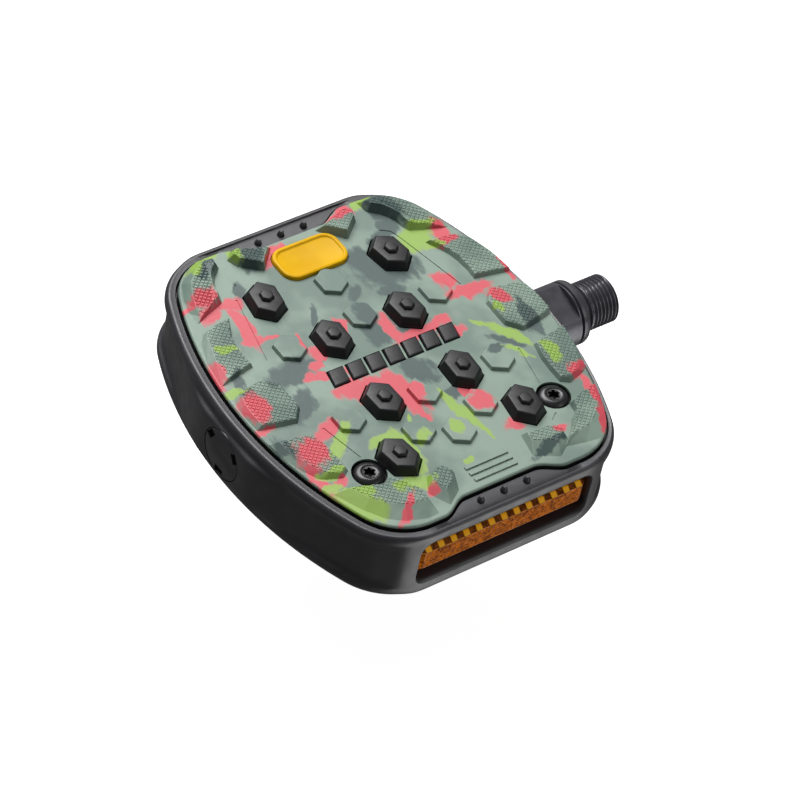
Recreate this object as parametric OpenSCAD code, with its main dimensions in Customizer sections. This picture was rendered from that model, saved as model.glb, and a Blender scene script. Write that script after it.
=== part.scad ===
// Flat bicycle pedal with replaceable rubber tread pads on both faces.
// Units are millimetres. +X runs out along the spindle towards the crank, +Z is up, and the origin is
// the centre of the spindle's crank seat, the flange face that closes against the crank arm.

/* [Model] */
// Node to build, or all

/* [Platform] */
// Distance from the platform's middle to the crank seat
seat_offset = 65; // [60:0.5:72]
// Half width of the rim across the spindle ends
rim_hw = 52; // [45:0.5:58]
// Half length of the rim, front to rear
rim_hl = 57.3; // [48:0.1:62]
// Rim corner radius
corner_r = 20; // [12:0.5:28]
// Distance of the corner centres from the middle, along the spindle
corner_x = 24.4; // [15:0.1:32]
// Half height of the rim
rim_h = 11.4; // [9:0.1:14]
// Half thickness of the web that carries the pads
deck_h = 8.9; // [8:0.1:10]
// Half width of the side walls over the spindle housing
housing_hw = 53.15; // [50:0.05:58]
// Half width of the reflector window
window_hw = 28; // [20:0.5:32]
// Half height of the reflector window
window_hh = 7.25; // [5:0.05:8]
// Half height of the reflector lens
lens_hh = 4.1; // [3:0.1:6.9]

/* [Pads] */
// Height of the pad's plain surface above the spindle axis
pad_h = 12.65; // [11:0.05:14]
// Height of the knurled tread lugs above the spindle axis
lug_h = 14.2; // [12.5:0.1:16]
// Height of the rear tread lugs above the spindle axis
rear_lug_h = 15.4; // [12.5:0.1:16]
// Height of the small six-sided lugs above the spindle axis
cell_h = 13.8; // [12.5:0.1:15]
// Step from the rim's outer face to the pad's edge
pad_step = 3.4; // [1.5:0.1:4]
// Extra width of the pad and its bed on the crank side
pad_wide = 1.6; // [0:0.1:1.8]
// Gap round the pad
pad_gap = 0.5; // [0.2:0.1:1.5]
// Offset of the tread pattern and its studs from the platform's middle, towards the crank
tread_x = 1.2; // [-2:0.1:2]
// Depth of the sipes
sipe_depth = 1; // [0.5:0.1:2]

/* [Studs] */
// Half width of a stud over its side flats
stud_a = 4.8; // [4:0.05:6]
// Half length of a stud over its points
stud_b = 7.2; // [5:0.05:8]
// Height of the stud shoulders above the spindle axis
stud_h = 15.6; // [13:0.1:17]
// Height of the stud tips above the spindle axis
tip_h = 16.5; // [14:0.1:18]
// Play between a stud and its hole in the pad
stud_play = 0.4; // [0.1:0.05:0.8]

/* [Spindle] */
// Outside radius of the crank thread (9/16 inch, 20 threads per inch)
thread_r = 7.14; // [7.1:0.01:7.2]
// Distance from the seat to the tip of the thread
thread_end = 12; // [10:0.5:15]
// Radius of the wrench collar and flange
collar_r = 9.5; // [8.5:0.1:11]
// Half distance across the wrench flats
flat_h = 7.5; // [7:0.25:8.5]
// Tilt of the wrench flats about the spindle axis
flat_tilt = 14; // [0:1:90]
// Radius of the bush journal
journal_r = 5.5; // [4.5:0.1:6.5]

/* [Hidden] */
$fn = 48;

eps = 0.05;
run_gap = 0.05;
corner_y = rim_hl - corner_r;
// radius of the long side arc that meets the corner arcs without a kink
side_r = ((corner_x - rim_hw) * (corner_x - rim_hw) + corner_y * corner_y - corner_r * corner_r)
    / (2 * (rim_hw - corner_x - corner_r));
side_x = rim_hw - side_r;
turn = atan2(corner_y, corner_x - side_x);
thread_undercut = 2.1;

// studs as [x, y, turn]: two rows of two inner and two outer ones
studs = [[-12.25, 11.8, -2.7], [12.25, 11.8, 2.7], [-13, -13.4, 2.7], [13, -13.4, -2.7],
    [-20.8, 31.7, -8.4], [20.8, 31.7, 8.4], [-20.8, -31.7, 8.4], [20.8, -31.7, -8.4]];
screw_xy = [[-30.6, -32.2], [30.6, -32.2]];
// small six-sided lugs as [x, y]
cells = [[-24.3, 14.6], [24.3, 14.6], [0, 16.2], [0, 30.2], [-24.8, -14.2], [24.8, -14.2],
    [-0.4, -15], [-0.3, -31], [10.8, -25.4], [-10.2, -26]];
// outlines of the knurled lugs that both sides have, the other side as a mirror image
rear_lugs = [
    [[26, 50.6], [26.2, 49], [28.3, 47.4], [30.1, 45.1], [31.3, 42.2], [31.6, 39.4], [32.2, 38],
        [34.8, 36.8], [37.6, 35.4], [39.8, 33.8], [39.5, 37.6], [38.3, 41.4], [35.6, 46.2], [32, 49.4],
        [28.6, 51]],
    [[14, 43.2], [19, 47.2], [19.8, 49.5], [18.4, 51], [14, 49.2], [9.6, 47.9]]
];
side_lugs = [
    [[33.8, 30.7], [36.6, 25.3], [37.6, 21.5], [37.8, 17.1], [37.4, 14], [41.8, 13], [45.8, 12], [45.2, 20],
        [42.4, 28.6], [38.7, 29.6]],
    [[39.1, 7.8], [36.9, 6.3], [34.9, 4], [34.7, -4.4], [37.8, -8.1], [46, -6.5], [46.6, -2], [46.6, 2],
        [45.8, 6.6]],
    [[37.4, -15], [36.5, -20], [35.5, -24.1], [35, -28.8], [37.8, -29.8], [40.9, -28.9], [43, -28],
        [44.4, -22], [45.6, -13.6], [42.7, -13.9]]
];
// front lugs, which differ between the sides
front_lugs = [
    [[33.2, -37.1], [32.7, -40.1], [29.9, -42.4], [27.9, -44.6], [24.9, -47], [28.3, -46.8], [32.1, -46.1],
        [36.2, -43.6], [39.6, -40], [41.2, -34.8], [36.5, -35.9]],
    [[14.9, -40.7], [14.3, -43.8], [17.6, -45.2], [20.8, -46.9], [23.8, -45], [24.2, -43.2], [21.9, -41.8]],
    [[-39.1, -35.1], [-36.4, -40.4], [-34.1, -43.5], [-29.4, -46.5], [-25.4, -47.6], [-22.6, -47.4],
        [-22.4, -43.9], [-25.2, -39.1], [-27.3, -37.4], [-29.8, -38.3]],
    [[-18.3, -43.5], [-16.4, -47.3], [-12.9, -45.1], [-11.5, -41.9], [-13.3, -39.8], [-16.9, -41.1]]
];
// straight sipes as [x1, y1, x2, y2] on one side
sipes = [[27.6, 37.4, 31.9, 13.6], [28, -26.4, 31.6, -13.4]];
bar_n = 7;
bar_pitch = 6.1;

function arc(cx, cy, r, a0, a1, n) = [for (i = [0:n]) let (a = a0 + (a1 - a0) * i / n)
    [cx + r * cos(a), cy + r * sin(a)]];
function rev(p) = [for (i = [len(p) - 1:-1:0]) p[i]];
function mir_x(p) = [for (q = rev(p)) [-q[0], q[1]]];
function mir_y(p) = [for (q = rev(p)) [q[0], -q[1]]];
// closed outline from the points of its first quarter
function four(q) = concat(q, mir_x(q), mir_y(mir_x(q)), mir_y(q));
// quarter of the platform outline, moved out by d
function quarter(d) = concat(arc(side_x, 0, side_r + d, 0.4, turn, 8),
    arc(corner_x, corner_y, corner_r + d, turn + 5, 90, 12));
// quarter of the pad outline: the end steps back between two lobes
function pad_quarter(d) = concat(quarter(d), [for (i = [0:8]) let (x = 20 - 9 * i / 8)
    [x, rim_hl + d - 1.8 * (1 + cos(20 * (x - 11)))]]);
function rounded(w, h, r) = concat(arc(w - r, h - r, r, 0, 90, 5), arc(r - w, h - r, r, 90, 180, 5),
    arc(r - w, r - h, r, 180, 270, 5), arc(w - r, r - h, r, 270, 360, 5));
function hexagon(a, b) = [[a, -b * 0.52], [a, b * 0.52], [0, b], [-a, b * 0.52], [-a, -b * 0.52], [0, -b]];

module outline(d) polygon(four(quarter(d)));
// pad outline, widened towards the crank
module pad_outline(d) polygon([for (p = four(pad_quarter(d)))
    [p[0] + pad_wide * max(0, p[0]) / rim_hw, p[1]]]);

// slab of a flat outline from z0 to z1
module slab(z0, z1) translate([0, 0, z0]) linear_extrude(z1 - z0) children();

// places children about the middle of the platform
module platform() translate([-seat_offset, 0, 0]) children();

// children as drawn for the top face, or turned half a turn about the spindle for the bottom face
module face(top) platform() rotate([top ? 0 : 180, 0, 0]) children();

// round solid along X from x0 to x1, radius r0 at x0 and r1 at x1
module rod(x0, x1, r0, r1, f) translate([x0, 0, 0]) rotate([0, 90, 0])
    cylinder(h = x1 - x0, r1 = r0, r2 = r1, $fn = f);

module tube(x0, x1, ri, ro) difference() {
    rod(x0, x1, ro, ro, 72);
    rod(x0 - 1, x1 + 1, ri, ri, 72);
}

// places children about the middle of the tread pattern
module tread() translate([tread_x, 0, 0]) children();
module at_studs() for (s = studs) translate([s[0], s[1], 0]) rotate([0, 0, s[2]]) children();
module at_screws() tread() for (s = screw_xy) translate([s[0], s[1], 0]) children();
module both_sides() {
    children();
    mirror([1, 0, 0]) children();
}

// rim with softened edges on one face
module rim_half() {
    slab(8.6, 9.9) outline(0);
    hull() {
        slab(9.8, 9.9) outline(0);
        slab(rim_h - 0.05, rim_h) outline(-1.2);
    }
    hull() {
        slab(7.8, 7.85) outline(-1.1);
        slab(8.6, 8.65) outline(0);
    }
}

// half width of the side wall at y, swollen over the spindle housing
function side_wall(y) = min(housing_hw, side_x + sqrt(pow(side_r - 1.3, 2) - y * y)
    + 1.8 * (1 + cos(4.5 * min(40, abs(y)))));

module swell() linear_extrude(15.8, center = true) polygon(concat(
    [for (i = [-18:18]) let (y = 2.25 * i) [side_wall(y), y]], [[30, 40.5], [30, -40.5]]));

// cells that lighten the web between the decks, closed off by the pads
module lightening() {
    for (sx = [-1, 1]) {
        for (sy = [-1, 1]) {
            for (i = [0:1]) translate([sx * 40.5 - 4.2, sy * (15.5 + 10 * i) - 4.2, 1]) cube([8.4, 8.4, 9]);
        }
        translate([sx * 33.5 - 4, 17, 1]) cube([8, 8, 9]);
        translate([sx * 33.5 - 4, -23, 1]) cube([8, 8, 9]);
    }
    for (x = [-6.6, 6.6]) {
        translate([x - 4.5, 20, 1]) cube([9, 8.6, 9]);
        translate([x - 4.5, 30.2, 1]) cube([9, 8.6, 9]);
        translate([x - 4.5, -28.6, 1]) cube([9, 6.6, 9]);
        translate([x - 4.5, -38.8, 1]) cube([9, 8.6, 9]);
    }
}

module window_cut() translate([0, -49.1, 0]) rotate([90, 0, 0])
    linear_extrude(12) polygon(rounded(window_hw, window_hh, 2));

// slanted plain bars in the middle of the pad
module bars(grow, z0, z1) for (i = [0:bar_n - 1]) translate([(i - (bar_n - 1) / 2) * bar_pitch, 0, 0])
    slab(z0, z1) polygon([[-2.9 - grow, -2.6 - grow], [1.7 + grow, -2.6 - grow], [2.9 + grow, 2.6 + grow],
        [-1.7 - grow, 2.6 + grow]]);

module body_face() {
    tread() {
        at_studs() {
            slab(deck_h - 1, stud_h) polygon(hexagon(stud_a, stud_b));
            slab(stud_h - 0.2, tip_h) polygon(hexagon(2, 2.6));
        }
        bars(0, deck_h - 1, pad_h + 0.6);
    }
    for (x = [-7.6, 0, 7.6], sy = [-1, 1]) translate([x, 52.9 * sy, rim_h - 0.3])
        cylinder(h = 1.3, r1 = 0.8, r2 = 0.25, $fn = 16);
}

module pedal_body() color([0.09, 0.09, 0.10]) platform() difference() {
    union() {
        difference() {
            union() {
                slab(-7.9, 7.9) outline(-1.3);
                linear_extrude(15.8, center = true) intersection() {
                    outline(-0.4);
                    square([72, 140], center = true);
                }
                both_sides() swell();
                for (a = [0, 180]) rotate([a, 0, 0]) rim_half();
            }
            for (a = [0, 180]) rotate([a, 0, 0]) {
                slab(deck_h, rim_h + 1) pad_outline(pad_gap - pad_step);
                lightening();
                // slots for the two tongues at the pad's rear edge
                for (x = [-7, 7]) translate([x - 3.7, 49, deck_h - eps]) cube([7.4, 5.1, 1.65]);
            }
        }
        for (a = [0, 180]) rotate([a, 0, 0]) body_face();
    }
    for (a = [0, 180]) rotate([0, 0, a]) window_cut();
    for (a = [0, 180]) rotate([a, 0, 0]) at_screws() translate([0, 0, 1.4]) cylinder(h = 10, r = 3.02);
    rod(-54, -48.4, 7.8, 7.8, 72);
    rod(-48.5, -34.4, 7.52, 7.52, 72);
    rod(-34.5, 34.1, 6.4, 6.4, 72);
    rod(34, 50.1, 7.52, 7.52, 72);
    rod(50, 54, 8.22, 8.22, 72);
}

// counterbore and shank hole for the pad screws
module screw_holes() at_screws() {
    slab(10.6, 20) circle(r = 4.9);
    slab(8, 11) circle(r = 2.15);
}

module lugs() {
    both_sides() {
        for (p = rear_lugs) slab(pad_h - 0.2, rear_lug_h) polygon(p);
        for (p = side_lugs) slab(pad_h - 0.2, lug_h) polygon(p);
    }
    for (p = front_lugs) slab(pad_h - 0.2, lug_h) polygon(p);
    for (c = cells) translate([c[0], c[1], 0]) slab(pad_h - 0.2, cell_h) polygon(hexagon(3.9, 4.9));
    for (y = [-43.4, -45.6, -47.8]) translate([-7, y, pad_h - 0.2]) cube([14, 1.1, 0.7]);
}

module pad() difference() {
    union() {
        slab(deck_h + 0.03, pad_h) pad_outline(-pad_step);
        tread() lugs();
        // tongues that hold the rear edge under the rim
        for (x = [-7, 7]) translate([x - 3.5, 48, deck_h + 0.03]) cube([7, 5.7, 1.5]);
    }
    tread() {
        at_studs() slab(8, 20) polygon(hexagon(stud_a + stud_play, stud_b + stud_play));
        bars(0.45, 8, 20);
        slab(11.4, 20) translate([0.2, 40.9]) polygon(rounded(11.2, 6.6, 3.4));
        both_sides() for (s = sipes) translate([s[0], s[1], pad_h - sipe_depth])
            rotate([0, 0, atan2(s[3] - s[1], s[2] - s[0])]) translate([0, -0.25, 0])
                cube([norm([s[2] - s[0], s[3] - s[1]]), 0.5, 5]);
    }
    screw_holes();
}

module top_pad() color([0.57, 0.66, 0.60]) face(true) pad();
module bottom_pad() color([0.57, 0.66, 0.60]) face(false) pad();

// plain name plate with a raised border
module badge() tread() translate([0.2, 40.9, 0]) difference() {
    slab(11.45, 13.9) polygon(rounded(11.1, 6.5, 3.3));
    slab(13.3, 15) polygon(rounded(9.9, 5.3, 2.2));
}

module top_badge() color([0.93, 0.69, 0.08]) face(true) badge();
module bottom_badge() color([0.93, 0.69, 0.08]) face(false) badge();

// round-headed screw with a star socket
module pad_screw() difference() {
    union() {
        slab(10.63, 11.6) circle(r = 4.4);
        translate([0, 0, 11.6]) cylinder(h = 1.5, r1 = 4.4, r2 = 2.9);
        slab(2.4, 10.8) circle(r = 1.98);
    }
    slab(11.3, 14) circle(r = 1.7, $fn = 6);
    slab(11.3, 14) rotate(30) circle(r = 1.7, $fn = 6);
}

module top_pad_screws() color([0.06, 0.06, 0.07]) face(true) at_screws() pad_screw();
module bottom_pad_screws() color([0.06, 0.06, 0.07]) face(false) at_screws() pad_screw();

module screw_insert() difference() {
    slab(1.45, 8.7) circle(r = 3);
    slab(1, 9) circle(r = 2);
}

module top_screw_inserts() color([0.72, 0.58, 0.28]) face(true) at_screws() screw_insert();
module bottom_screw_inserts() color([0.72, 0.58, 0.28]) face(false) at_screws() screw_insert();

// reflector lens with bevelled edges
module lens() translate([0, -51.5, 0]) rotate([90, 0, 0]) {
    linear_extrude(3.75) polygon(rounded(window_hw - 0.8, lens_hh, 1));
    hull() {
        translate([0, 0, 3.7]) linear_extrude(0.1) polygon(rounded(window_hw - 0.8, lens_hh, 1));
        translate([0, 0, 4.8]) linear_extrude(0.1) polygon(rounded(window_hw - 2, lens_hh - 1.2, 0.6));
    }
}

// carrier plate behind a lens
module lens_back() translate([0, -49.15, 0]) rotate([90, 0, 0]) difference() {
    linear_extrude(2.3) polygon(rounded(window_hw - 0.3, window_hh - 0.3, 1.7));
    translate([0, 0, 0.9]) linear_extrude(2) polygon(rounded(window_hw - 1.5, window_hh - 1.5, 1));
}

module front_lens() color([0.80, 0.42, 0.05]) platform() lens();
module rear_lens() color([0.80, 0.42, 0.05]) platform() rotate([0, 0, 180]) lens();
module front_reflector_back() color([0.25, 0.25, 0.26]) platform() lens_back();
module rear_reflector_back() color([0.25, 0.25, 0.26]) platform() rotate([0, 0, 180]) lens_back();

module end_cap() color([0.08, 0.08, 0.09]) platform() difference() {
    union() {
        rod(-housing_hw, -50.9, 7.7, 7.7, 72);
        rod(-51, -48.5, 7.1, 7.1, 72);
    }
    rod(-51.2, -48, 5.9, 5.9, 72);
    // groove for the sealing ring
    difference() {
        rod(-50.5, -49.1, 8, 8, 72);
        rod(-50.6, -49, 6.5, 6.5, 72);
    }
    for (a = [30, 150, 270]) rotate([a, 0, 0]) translate([-housing_hw - 1, 5.7, -1.3]) cube([2.2, 3, 2.6]);
}

module end_cap_o_ring() color([0.05, 0.05, 0.05]) platform() translate([-49.8, 0, 0]) rotate([0, 90, 0])
    rotate_extrude($fn = 72) translate([7.15, 0]) circle(r = 0.6, $fn = 24);

module spindle() color([0.08, 0.08, 0.09]) difference() {
    union() {
        rod(thread_undercut, thread_end - 0.8, thread_r, thread_r, 96);
        rod(thread_end - 0.8, thread_end, thread_r, thread_r - 0.8, 96);
        rod(-1, thread_undercut + 0.1, 6.4, 6.4, 72);
        rod(-0.6, 0, collar_r, collar_r - 0.6, 96);
        rod(-2.5, -0.6, collar_r, collar_r, 96);
        rod(-3.3, -2.5, collar_r - 0.7, collar_r - 0.7, 96);
        rod(-11.1, -3.3, collar_r, collar_r, 96);
        platform() {
            rod(49.9, 54, 6.5, 6.5, 72);
            rod(33, 50, journal_r, journal_r, 72);
            rod(-32, 33.1, 4.4, journal_r - 0.1, 72);
            rod(-35, -31.9, 4.2, 4.2, 72);
            rod(-46.4, -34.9, 2.98, 2.98, 48);
        }
    }
    rotate([flat_tilt, 0, 0]) for (s = [0, 180]) rotate([s, 0, 0])
        translate([-12, -12, flat_h]) cube([8.3, 24, 6]);
    // centre-drilled end
    rod(thread_end - 2, thread_end + 0.1, 0.3, 2.2, 32);
}

// section of a ball race ring between radii ri and ro, grooved for the balls
module race(ri, ro) difference() {
    tube(-40, -35, ri, ro);
    translate([-37.5, 0, 0]) rotate([0, 90, 0]) rotate_extrude($fn = 72) translate([5.25, 0])
        circle(r = 1.55, $fn = 32);
}

module bearing_inner_ring() color([0.62, 0.63, 0.65]) platform() race(3, 4.3);
module bearing_outer_ring() color([0.62, 0.63, 0.65]) platform() race(6.2, 7.5);

module at_balls() for (i = [0:6]) rotate([i * 360 / 7, 0, 0]) translate([-37.5, 5.25, 0]) children();

module bearing_balls() color([0.75, 0.76, 0.78]) platform() at_balls() sphere(r = 1.5, $fn = 32);

module bearing_cage() color([0.70, 0.60, 0.35]) platform() difference() {
    tube(-39.2, -35.8, 4.85, 5.65);
    at_balls() translate([0, -2, 0]) rotate([-90, 0, 0]) cylinder(h = 4, r = 1.56, $fn = 32);
}

module bearing_shield() color([0.12, 0.12, 0.13]) platform() tube(-34.95, -34.45, 6.45, 7.5);

module thrust_washer() color([0.60, 0.61, 0.63]) platform() tube(-40.85, -40.05, 3.05, 4.7);

module lock_nut() color([0.55, 0.56, 0.58]) platform() difference() {
    translate([-45.4, 0, 0]) rotate([0, 90, 0]) cylinder(h = 4.5, r = 5 / cos(30), $fn = 6);
    rod(-46, -40, 3, 3, 48);
}

module inboard_bush() color([0.30, 0.30, 0.31]) platform() tube(34.1, 49.6, journal_r + run_gap, 7.5);

module lip_seal() color([0.05, 0.05, 0.05]) platform() tube(50.2, 52.4, 6.5 + run_gap, 8.2);

spindle();
bearing_inner_ring();
thrust_washer();
lock_nut();
bearing_balls();
bearing_cage();
pedal_body();
top_pad();
bottom_pad();
top_badge();
bottom_badge();
top_pad_screws();
bottom_pad_screws();
top_screw_inserts();
bottom_screw_inserts();
front_lens();
rear_lens();
front_reflector_back();
rear_reflector_back();
end_cap();
end_cap_o_ring();
bearing_outer_ring();
bearing_shield();
inboard_bush();
lip_seal();
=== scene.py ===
"""Looks of a flat bicycle pedal with printed rubber tread pads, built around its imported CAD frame.

Points are written in millimetres about the middle of the platform, with z from the spindle's axis.
make() turns them into metres in the frame. The bottom face repeats the top one, turned about the spindle.
"""

import math

import bpy
from mathutils import Matrix, Vector
from mathutils.bvhtree import BVHTree


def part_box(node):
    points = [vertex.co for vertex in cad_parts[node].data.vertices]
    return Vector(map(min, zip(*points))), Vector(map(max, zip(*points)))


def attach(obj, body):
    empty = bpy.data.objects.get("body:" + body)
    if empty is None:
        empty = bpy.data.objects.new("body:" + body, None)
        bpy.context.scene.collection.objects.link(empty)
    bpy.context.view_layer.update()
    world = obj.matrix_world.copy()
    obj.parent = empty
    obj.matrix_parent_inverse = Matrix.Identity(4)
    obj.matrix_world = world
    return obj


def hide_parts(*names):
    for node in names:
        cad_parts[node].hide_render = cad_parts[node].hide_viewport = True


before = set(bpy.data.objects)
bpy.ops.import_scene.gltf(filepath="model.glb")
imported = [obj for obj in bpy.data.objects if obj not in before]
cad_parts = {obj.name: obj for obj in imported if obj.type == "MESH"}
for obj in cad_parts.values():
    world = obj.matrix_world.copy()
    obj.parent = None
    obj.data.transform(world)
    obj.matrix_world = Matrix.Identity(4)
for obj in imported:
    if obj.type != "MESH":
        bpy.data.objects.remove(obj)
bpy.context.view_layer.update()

MM = 0.001
body_low, body_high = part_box("pedal_body")
MID_X = (body_low.x + body_high.x) / 2 / MM
RIM_HL = body_high.y / MM
TIP_Z = body_high.z / MM
HOUSING_X = (body_high.x - body_low.x) / 2 / MM

# platform outline: side arcs, corner arcs and straight ends
RIM_HW, CORNER_R, CORNER_X = 52.0, 20.0, 24.4
CORNER_Y = RIM_HL - CORNER_R
SIDE_R = ((CORNER_X - RIM_HW) ** 2 + CORNER_Y**2 - CORNER_R**2) / (2 * (RIM_HW - CORNER_X - CORNER_R))
SIDE_X = RIM_HW - SIDE_R
TURN = math.atan2(CORNER_Y, CORNER_X - SIDE_X)

# heights of the pad's bed, the foot of what stands in it, the pad's top and the small lugs' tops
DECK_Z, ROOT_Z, PAD_Z, CELL_Z = 8.9, 7.9, 12.65, 13.8
# foot of everything that stands on the pad, and a height clear above it all
FOOT_Z, CLEAR_Z = 12.3, 20.0
# pad edge against the platform outline
PAD_EDGE = -3.4
# extra width of pad and bed on the crank side, the offset where it begins and the distance it grows over
PAD_WIDE, WIDE_FROM, WIDE_OVER = 1.6, -0.65, 2.25
# middle of the tread pattern against the middle of the platform
TREAD_X = 1.2

# half width and half length of a stud, and the pad's play round it
STUD_A, STUD_B, STUD_PLAY = 4.8, 7.2, 0.4
# end lands: half width of their deep part, half width overall, half their depth and where they start
LAND_IN, LAND_OUT, LAND_HALF, END_Y = 11, 20, 1.8, 50
# small pips on the end lands
PIP_X, PIP_Y = (-7.6, 0, 7.6), 52.9
# slanted bars: number, pitch, half length, half height and how far the ends slant
BAR_N, BAR_PITCH, BAR_HW, BAR_HH, BAR_SLANT = 7, 6.1, 2.9, 2.6, 1.2
# low ribs near the front of the pad
RIB_Y, RIB_HW, RIB_W = (-43.4, -45.6, -47.8), 7, 1.1
# name plate and the play of its seat
PLATE_SPOT, PLATE_HW, PLATE_HH, PLATE_R, PLATE_PLAY = (0.2, 40.9), 10.7, 6.1, 4.3, 0.25
# reflector windows: half width, half height, corner radius, floor and edge rounding
WINDOW_HW, WINDOW_HH, WINDOW_R, WINDOW_FLOOR, WINDOW_EDGE = 28, 7.25, 3, 49.1, 1.6
# how far the straight end faces lie inside the outline
FACE_IN = 0.03
# reflector lens: half width, half height, and the pitch and number of its blocks
LENS_HW, LENS_HH, LENS_PITCH, LENS_BLOCKS = 27.2, 4.1, 4.15, 13
# from the crank seat to the end of the spindle
THREAD_L = 12.0

# points round a hoop about the spindle's axis
ROUND_N = 96

# studs as (x, y, turn in degrees)
STUDS = [(-12.25, 11.8, -2.7), (12.25, 11.8, 2.7), (-13, -13.4, 2.7), (13, -13.4, -2.7),
         (-20.8, 31.7, -8.4), (20.8, 31.7, 8.4), (-20.8, -31.7, 8.4), (20.8, -31.7, -8.4)]
SCREWS = [(-30.6, -32.2), (30.6, -32.2)]
# small six-sided lugs
CELLS = [(-24.3, 14.6), (24.3, 14.6), (0, 16.2), (0, 30.2), (-24.8, -14.2), (24.8, -14.2),
         (-0.4, -15), (-0.3, -31), (10.8, -25.4), (-10.2, -26)]

# tread lugs: the sides that have them, the top outline as (x, y, z), and the foot outline as (x, y)
LUGS = [
    ((1, -1),
     [(26.0, 50.6, 15.2), (26.2, 49.0, 15.4), (28.3, 47.4, 15.4), (30.1, 45.1, 15.4), (31.3, 42.2, 15.4),
      (31.6, 39.6, 15.2), (32.2, 38.2, 14.8), (34.8, 37.0, 14.3), (37.6, 35.6, 14.0), (39.6, 34.6, 13.6),
      (39.4, 37.8, 14.2), (38.2, 41.4, 14.7), (35.6, 46.2, 14.9), (32.0, 49.4, 15.0), (28.6, 51.0, 15.1)],
     [(23.6, 53.0), (25.0, 48.6), (27.6, 45.8), (29.3, 43.4), (30.4, 40.4), (30.3, 38.6), (31.6, 36.8),
      (34.2, 35.6), (37.2, 34.8), (42.2, 33.6), (42.0, 37.6), (41.0, 42.0), (38.1, 47.8), (33.8, 51.8),
      (28.9, 54.0)]),
    ((1, -1),
     [(14.0, 43.2, 15.3), (19.0, 47.2, 15.4), (19.8, 49.4, 15.4), (18.4, 50.8, 15.3), (14.0, 49.0, 15.2),
      (9.6, 47.8, 15.0)],
     [(14.0, 42.0), (20.1, 46.8), (21.2, 49.8), (19.2, 53.0), (12.6, 50.2), (6.6, 49.4)]),
    ((1, -1),
     [(33.8, 30.7, 14.0), (36.6, 25.3, 14.0), (37.6, 21.5, 14.0), (37.8, 17.1, 14.0), (37.5, 14.1, 14.0),
      (41.8, 13.1, 14.0), (45.8, 12.2, 14.0), (45.2, 19.5, 14.0), (42.6, 27.6, 14.0), (41.0, 29.4, 14.0),
      (38.0, 30.2, 14.0)],
     [(32.8, 31.6), (35.6, 25.3), (36.6, 21.5), (37.0, 17.1), (36.9, 13.1), (42.1, 12.3), (49.4, 11.2),
      (48.5, 17.0), (46.0, 25.0), (44.4, 28.6), (39.0, 31.2)]),
    ((1, -1),
     [(39.1, 7.8, 14.0), (36.9, 6.3, 14.0), (34.9, 4.0, 14.0), (34.7, -1.5, 14.0), (34.7, -4.4, 14.0),
      (37.8, -8.1, 14.0), (43.7, -6.9, 14.0), (47.2, -5.9, 14.0), (47.4, -1.4, 14.0), (47.2, 2.0, 14.0),
      (46.2, 5.4, 14.0), (44.9, 6.2, 14.0)],
     [(38.9, 8.8), (36.2, 7.0), (34.1, 4.4), (33.9, -1.5), (33.9, -4.8), (37.5, -9.1), (43.9, -7.9),
      (49.0, -6.8), (49.8, -1.4), (49.6, 2.6), (48.4, 7.0), (45.2, 7.4)]),
    ((1, -1),
     [(37.4, -15.0, 14.0), (36.2, -20.0, 14.0), (35.9, -24.1, 14.0), (35.9, -28.2, 14.0), (37.8, -29.4, 14.0),
      (40.9, -28.2, 14.0), (42.4, -26.4, 14.0), (44.6, -21.6, 14.0), (45.9, -17.2, 14.0), (46.6, -12.9, 14.0),
      (42.7, -13.6, 14.0)],
     [(36.8, -14.0), (35.4, -20.0), (35.0, -24.3), (34.8, -29.2), (37.6, -30.8), (41.2, -29.8), (44.8, -28.3),
      (47.2, -23.0), (48.6, -17.4), (49.6, -11.6), (42.4, -12.7)]),
    ((1,),
     [(33.2, -37.1, 14.2), (32.7, -40.1, 14.2), (29.9, -42.4, 14.2), (27.9, -44.6, 14.2), (24.9, -47.0, 14.2),
      (27.8, -46.7, 14.2), (32.1, -46.1, 14.2), (36.2, -43.6, 14.2), (39.6, -40.0, 14.2), (41.2, -34.8, 14.2),
      (36.5, -35.9, 14.2)],
     [(32.4, -36.6), (31.9, -39.8), (29.0, -42.0), (26.8, -44.4), (24.4, -47.0), (25.4, -52.0), (33.8, -52.6),
      (39.6, -47.0), (42.2, -40.8), (43.6, -34.0), (36.4, -35.0)]),
    ((1,),
     [(14.9, -40.7, 14.4), (14.3, -43.8, 14.4), (17.6, -45.2, 14.4), (20.8, -46.9, 14.4), (23.8, -45.0, 14.4),
      (24.2, -43.2, 14.4), (21.9, -41.8, 14.4)],
     [(13.8, -39.8), (11.8, -47.7), (14.8, -50.2), (20.6, -52.4), (25.2, -46.2), (25.6, -42.6),
      (22.2, -40.8)]),
    ((-1,),
     [(22.4, -43.9, 14.2), (22.6, -47.4, 14.2), (25.4, -47.6, 14.2), (29.4, -46.5, 14.3), (34.1, -43.5, 14.4),
      (36.4, -40.4, 14.4), (39.1, -35.1, 14.3), (29.8, -38.3, 14.3), (27.3, -37.0, 14.3),
      (25.2, -39.4, 14.2)],
     [(21.5, -43.6), (21.8, -53.4), (26.8, -53.4), (32.0, -51.6), (37.6, -46.8), (40.6, -41.6), (43.4, -35.4),
      (29.6, -37.2), (27.0, -35.8), (24.4, -38.8)]),
    ((-1,),
     [(13.3, -39.8, 14.4), (11.5, -41.9, 14.4), (12.9, -45.1, 14.4), (16.4, -47.3, 14.4), (18.3, -43.5, 14.4),
      (16.9, -41.1, 14.4)],
     [(12.9, -38.6), (10.2, -41.6), (12.0, -48.8), (19.3, -52.4), (20.5, -44.3), (17.8, -40.0)]),
]

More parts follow.
